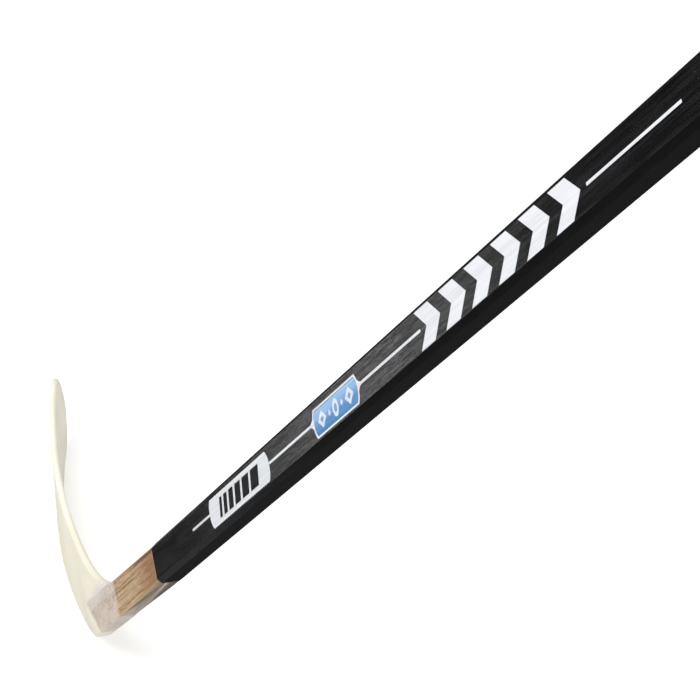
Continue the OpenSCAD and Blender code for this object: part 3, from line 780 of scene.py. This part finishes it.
def core_wood(name, pale, mid, dark):
    sh = Shader(name)
    t, y, s = sh.shaft()
    tone, height = wood_tone(sh, t, y, s, pale, mid, dark)
    tone = with_under(sh, t, y, s, tone)
    # Where the back's taper lays a ply bare above the sleeve, it is oiled like the outer ones
    oiled, _ = bare_wood(sh, t, y, s)
    tone = sh.mix(sh.step(s, 142.0, 126.0), tone, oiled)
    tone = sh.mix(end_mask(sh), tone, rings(sh, t, y, pale, dark))
    rough = sh.math("ADD", 0.5, sh.math("MULTIPLY", height, 0.12))
    return sh.finish(Base_Color=tone, Roughness=rough, Normal=sh.bump(height, 0.25, 0.0004))


def bare_wood(sh, t, y, s):
    """The oiled wood of the hosel: dark streaks on the toe side, and browner by the lacquer."""
    tone, height = wood_tone(sh, t, y, s, "c4a884", "ab8d69", "84633f")
    edge = sh.step(t, SHAFT_W * 0.42, SHAFT_W * 0.95)
    blotch = sh.noise(sh.stretch(t, y, s, 0.2, 0.06), 1.0, 4.0, 0.68, 1.2)
    tone = sh.mix(sh.math("MULTIPLY", sh.step(blotch, 0.5, 0.64), 0.5), tone, linear("d2bb98"))
    near = sh.math("MULTIPLY", sh.step(s, 160.0, 222.0), 0.72)
    tone = sh.mix(near, tone, linear("8d6234"))
    tone = sh.mix(sh.math("MULTIPLY", edge, 0.3), tone, linear("8f7058"))
    vein = sh.noise(sh.stretch(t, y, s, 0.46, 0.009), 1.0, 4.0, 0.62, 0.4)
    dark = sh.math("MULTIPLY", sh.step(vein, 0.5, 0.56), sh.math("MULTIPLY_ADD", edge, 0.62, 0.16))
    tone = sh.mix(dark, tone, linear("573b2d"))
    nick = sh.noise(sh.stretch(t, y, s, 0.9, 0.03), 1.0, 3.0, 0.7, 0.3)
    pale = sh.math("MULTIPLY", sh.step(nick, 0.57, 0.65), sh.math("MULTIPLY_ADD", edge, 0.35, 0.22))
    tone = sh.mix(pale, tone, linear("dcc9ac"))
    rim = sh.math("MULTIPLY", sh.step(t, SHAFT_W * 0.9, SHAFT_W * 0.97), 0.65)
    tone = sh.mix(rim, tone, linear("c4a587"))
    corner = sh.math("MULTIPLY", sh.step(t, 1.9, 0.9), sh.step(sh.math("ABSOLUTE", y), 4.0, 5.0))
    tone = sh.mix(sh.math("MULTIPLY", corner, 0.6), tone, linear("c9a878"))
    return with_under(sh, t, y, s, tone), height


def veneer():
    sh = Shader("face_veneer")
    t, y, s = sh.shaft()
    tone, height = bare_wood(sh, t, y, s)
    tone = sh.mix(end_mask(sh), tone, rings(sh, t, y, "b8946a", "7d5a3a"))
    return sh.finish(Base_Color=tone, Roughness=0.42, Normal=sh.bump(height, 0.3, 0.0004), Coat_Weight=0.15)


def sleeve_glass():
    sh = Shader("glass_sleeve")
    t, y, s = sh.shaft()
    wood, grain = bare_wood(sh, t, y, s)
    slanted = sh.math("ADD", t, sh.math("MULTIPLY", s, 0.35))
    strands = sh.noise(sh.stretch(slanted, y, s, 0.9, 0.12), 1.0, 4.0, 0.65, 0.6)
    crossed = sh.math("SUBTRACT", t, sh.math("MULTIPLY", s, 0.8))
    cross = sh.noise(sh.stretch(crossed, y, s, 1.1, 0.14), 1.0, 3.0, 0.6, 0.5)
    cloud = sh.noise(sh.stretch(t, y, s, 0.09, 0.06), 1.0, 3.0, 0.6, 1.2)
    milk = sh.math("ADD", sh.math("MULTIPLY", strands, 0.55), sh.math("MULTIPLY", cross, 0.45))
    dense = sh.math("ADD", sh.math("MULTIPLY", milk, 0.6), sh.math("MULTIPLY", cloud, 0.5))
    cover = sh.step(dense, 0.4, 0.68)
    low = sh.step(s, 105.0, 20.0)
    least = sh.math("MULTIPLY_ADD", low, 0.14, 0.26)
    cover = sh.math("MULTIPLY_ADD", cover, 0.56, least)
    under = under_mask(sh)
    cover = sh.math("MULTIPLY_ADD", under, 0.18, cover)
    fillet_side = sh.math("MULTIPLY", sh.step(t, 17.0, 29.0), sh.step(s, 112.0, 86.0))
    cover = sh.math("MINIMUM", 0.92, sh.math("MULTIPLY_ADD", fillet_side, 0.34, cover))
    fade = sh.step(sh.math("ADD", s, sh.math("MULTIPLY", strands, 9.0)), 119.0, 107.0)
    tone = sh.mix(sh.math("MULTIPLY", cover, fade), wood, linear("d8d0c8"))
    streak = sh.step(strands, 0.6, 0.72)
    tone = sh.mix(sh.math("MULTIPLY", streak, sh.math("MULTIPLY", fade, 0.35)), tone, linear("efece6"))
    tone = sh.mix(cream_smear(sh, t, s, strands, under), tone, linear("e6e1d0"))
    height = sh.math("ADD", milk, sh.math("MULTIPLY", grain, 0.15))
    return sh.finish(Base_Color=tone, Roughness=0.36, Normal=sh.bump(height, 0.35, 0.0005), Coat_Weight=0.2)


def cream_smear(sh, t, s, rag, under):
    """Where the blade's ivory resin runs onto the sleeve along the cut end, farthest on the underside."""
    height = sh.math("ADD", sh.math("MULTIPLY", s, math.sin(LIE)), sh.math("MULTIPLY", t, math.cos(LIE)))
    ragged = sh.math("SUBTRACT", sh.math("SUBTRACT", height, END_Z), sh.math("MULTIPLY", rag, 3.4))
    softer = sh.math("MULTIPLY", ragged, sh.math("MULTIPLY_ADD", under, -0.75, 1.0))
    return sh.step(softer, 1.8, -1.8)


def hosel_patch(sh, p, rag):
    """Where the sleeve's glass runs on over the fillet in the crotch."""
    x = sh.math("ADD", sh.dot(p, (TO_MM, 0.0, 0.0)), DATUM)
    z = sh.dot(p, (0.0, 0.0, TO_MM))
    up = sh.math("SUBTRACT", z, END_Z)
    # The boundary slants back from the cut end's corner up to the crotch
    edge = sh.math("MULTIPLY_ADD", up, -0.62, CORNER - 0.5)
    bow = sh.math("MULTIPLY", sh.math("MULTIPLY", up, up), 0.0085)
    past = sh.math("SUBTRACT", x, sh.math("ADD", edge, bow))
    ragged = sh.math("ADD", past, sh.math("MULTIPLY_ADD", rag, 5.0, -2.5))
    front = sh.step(sh.dot(p, (0.0, TO_MM, 0.0)), 0.5, 2.5)
    inside = sh.math("MULTIPLY", sh.step(ragged, 1.4, -1.4), sh.step(up, 0.0, 0.8))
    return sh.math("MULTIPLY", inside, front)


def ivory():
    sh = Shader("ivory_blade")
    p = sh.place()
    along = sh.dot(p, (700.0, 0.0, 700.0))
    cross = sh.dot(p, (700.0, 0.0, -700.0))
    wave = sh.math("SINE", sh.math("MULTIPLY", along, 2.6))
    ribs = sh.math("MULTIPLY", wave, sh.math("SINE", sh.math("MULTIPLY", cross, 2.6)))
    cloud = sh.noise(p, 22.0, 4.0, 0.6)
    grit = sh.noise(p, 900.0, 3.0, 0.6)
    tone = sh.mix(sh.step(cloud, 0.35, 0.65), linear("ede9da"), linear("e7e2cf"))
    # Painted shade: the blade's face darkens toward the hosel, where it gets less light.
    painted_shade_by_hosel = sh.step(sh.dot(p, (TO_MM, 0.0, 0.0)), 105.0, 5.0)
    tone = sh.mix(sh.math("MULTIPLY", painted_shade_by_hosel, 0.6), tone, linear("d8d2c0"))
    tone = sh.mix(sh.math("MULTIPLY", sh.step(ribs, 0.2, 0.8), 0.16), tone, linear("cdc8b2"))
    threads = {0: sh.math("MULTIPLY", cross, 0.9), 1: sh.math("MULTIPLY", along, 0.08)}
    lines = sh.noise(sh.add("CombineXYZ", threads), 1.0, 4.0, 0.65)
    scuff = sh.step(sh.noise(p, 60.0, 5.0, 0.7, 1.5), 0.66, 0.74)
    tone = sh.mix(sh.math("MULTIPLY", scuff, 0.18), tone, linear("c2bca6"))
    patch = hosel_patch(sh, p, lines)
    milk = sh.mix(sh.step(lines, 0.4, 0.62), linear("cdc5bb"), linear("e9e4dd"))
    tone = sh.mix(patch, tone, milk)
    height = sh.math("ADD", sh.math("MULTIPLY", ribs, 0.3), sh.math("MULTIPLY", grit, 0.5))
    rough = sh.math("ADD", 0.42, sh.math("MULTIPLY", grit, 0.18))
    return sh.finish(Base_Color=tone, Roughness=rough, Normal=sh.bump(height, 0.14, 0.0003))


def resin_glass():
    sh = Shader("glass_sheet")
    t, y, s = sh.shaft()
    f = fibres(sh, t, y, s)
    tone = sh.mix(sh.step(f, 0.4, 0.6), linear("2c2d2b"), linear("585a55"))
    return sh.finish(Base_Color=tone, Roughness=0.35, Normal=sh.bump(f, 0.3, 0.0003))


def paint():
    """Gives every node that stays its material."""
    white = ink("ink_white", "d6d8dc")
    looks = {
        "core_ply_1": core_wood("core_wood_light", "d9bd92", "c7a677", "a5835a"),
        "core_ply_2": core_wood("core_wood_dark", "c5a274", "b08a5c", "8d6a43"),
        "front_veneer": veneer(),
        "front_glass_sheet": resin_glass(),
        "shaft_lacquer": lacquer(),
        "blade_core": core_wood("blade_wood", "e3d3ad", "d3bf94", "b39d72"),
        "front_pinstripe": white,
        "front_badge": ink("ink_silver", "d3d6da"),
        "front_badge_marks": ink("ink_dark", "1d1d1f"),
        "front_shield_border": white,
        "front_shield_panel": ink("ink_blue", "9cc4ea", "3f86c6", 0.34),
        "front_shield_marks": white,
        "front_chevrons": white,
    }
    looks["core_ply_3"], looks["core_ply_4"] = looks["core_ply_1"], looks["core_ply_2"]
    for name, material in list(looks.items()):
        looks[name.replace("front_", "back_")] = material
    for name, material in looks.items():
        node = NODES[name]
        node.data.materials.clear()
        node.data.materials.append(material)


# ---------- stage ----------

AIM = Vector((0.0124, -0.2145, 0.2185))
LENS = 156.35
HEADING = -23.81
LOOK_DOWN = 30.73
ROLL = 5.73
DISTANCE = 2.448


def camera():
    a, e = math.radians(HEADING), math.radians(LOOK_DOWN)
    forward = Vector((math.cos(a) * math.cos(e), math.sin(a) * math.cos(e), -math.sin(e)))
    level = forward.cross(Vector((0, 0, 1))).normalized()
    upright = level.cross(forward)
    r = math.radians(ROLL)
    right = level * math.cos(r) + upright * math.sin(r)
    up = upright * math.cos(r) - level * math.sin(r)
    data = bpy.data.cameras.new("camera")
    data.lens = LENS
    data.sensor_width = 36.0
    cam = bpy.data.objects.new("camera", data)
    turn = Matrix((right, up, -forward)).transposed().to_4x4()
    cam.matrix_world = Matrix.Translation(AIM - forward * DISTANCE) @ turn
    bpy.context.scene.collection.objects.link(cam)
    bpy.context.scene.camera = cam


FLOOR_HALF = 14.0
FLOOR_DROP = 0.0003


def floor():
    sh = Shader("pale_floor")
    cloud = sh.noise(sh.place(), 3.0, 2.0)
    pale = sh.mix(cloud, (0.9, 0.9, 0.9, 1), (0.93, 0.93, 0.93, 1))
    sh.finish(
        Base_Color=pale, Roughness=0.9, Specular_IOR_Level=0.1,
        Emission_Color=(1, 1, 1, 1), Emission_Strength=0.12,
    )
    mesh = bpy.data.meshes.new("floor")
    corners = [(x * FLOOR_HALF, y * FLOOR_HALF, 0) for x, y in ((-1, -1), (1, -1), (1, 1), (-1, 1))]
    mesh.from_pydata(corners, [], [(0, 1, 2, 3)])
    mesh.materials.append(sh.mat)
    plane = bpy.data.objects.new("floor", mesh)
    plane.location.z = -FLOOR_DROP
    plane.visible_glossy = False
    bpy.context.scene.collection.objects.link(plane)


# The middle of what the lamps light, and the place, diameter and power of each
LIT_POINT = Vector((0, 0, 0.3))
KEY = (Vector((-0.6, 1.6, 2.6)), 2.2, 55)
FILL = (Vector((-2.4, -0.6, 1.6)), 1.6, 14)


def softbox(name, place, size, power):
    data = bpy.data.lights.new(name, "AREA")
    data.shape = "DISK"
    data.size = size
    data.energy = power
    lamp = bpy.data.objects.new(name, data)
    lamp.location = place
    lamp.rotation_euler = (LIT_POINT - place).to_track_quat("-Z", "Y").to_euler()
    bpy.context.scene.collection.objects.link(lamp)


# The soft glow that the middle of the wide face reflects: its direction, the cosine of its half angle, and
# its strength
GLOW = Vector((0.7805, 0.357, -0.513))
GLOW_EDGE = 0.9972
GLOW_LEVEL = 1.05
# What the bevels and the underside reflect from below
UNDER_LEVEL = 0.035
# The white world's strength, and what reflections see of it level with the ground and overhead
SKY_LEVEL = 0.8
MIRROR_LOW = 0.02
MIRROR_HIGH = 0.9


def world():
    """A white world for soft light. Reflections see a dim one with a glow, so the black stays black."""
    w = bpy.data.worlds.new("studio")
    bpy.context.scene.world = w
    w.use_nodes = True
    sky = Nodes(w.node_tree)
    toward = sky.add("TexCoord")
    height = sky.dot(toward, (0, 0, 1))
    rise = sky.ramp(height, -0.1, 0.9, MIRROR_LOW, MIRROR_HIGH)
    under = sky.ramp(height, -0.8, -0.6, UNDER_LEVEL, 0.0)
    glow = sky.ramp(sky.dot(toward, GLOW.normalized()), GLOW_EDGE, 1.0, 0.0, GLOW_LEVEL)
    mirrored = sky.math("ADD", sky.math("ADD", rise, under), glow)
    white = (1, 1, 1, 1)
    plain = sky.add("Background", {0: white, 1: SKY_LEVEL})
    dim = sky.add("Background", {0: white, 1: mirrored})
    glossy = sky.add("LightPath", output="Is Glossy Ray")
    sky.add("OutputWorld", {0: sky.add("MixShader", {0: glossy, 1: plain, 2: dim})})


def stage():
    scene = bpy.context.scene
    scene.view_settings.view_transform = "Standard"
    world()
    floor()
    softbox("key", *KEY)
    softbox("fill", *FILL)
    camera()


paint()
shell = blade()
shell.data.materials.append(ivory())
cover = sleeve()
cover.data.materials.append(sleeve_glass())
stage()
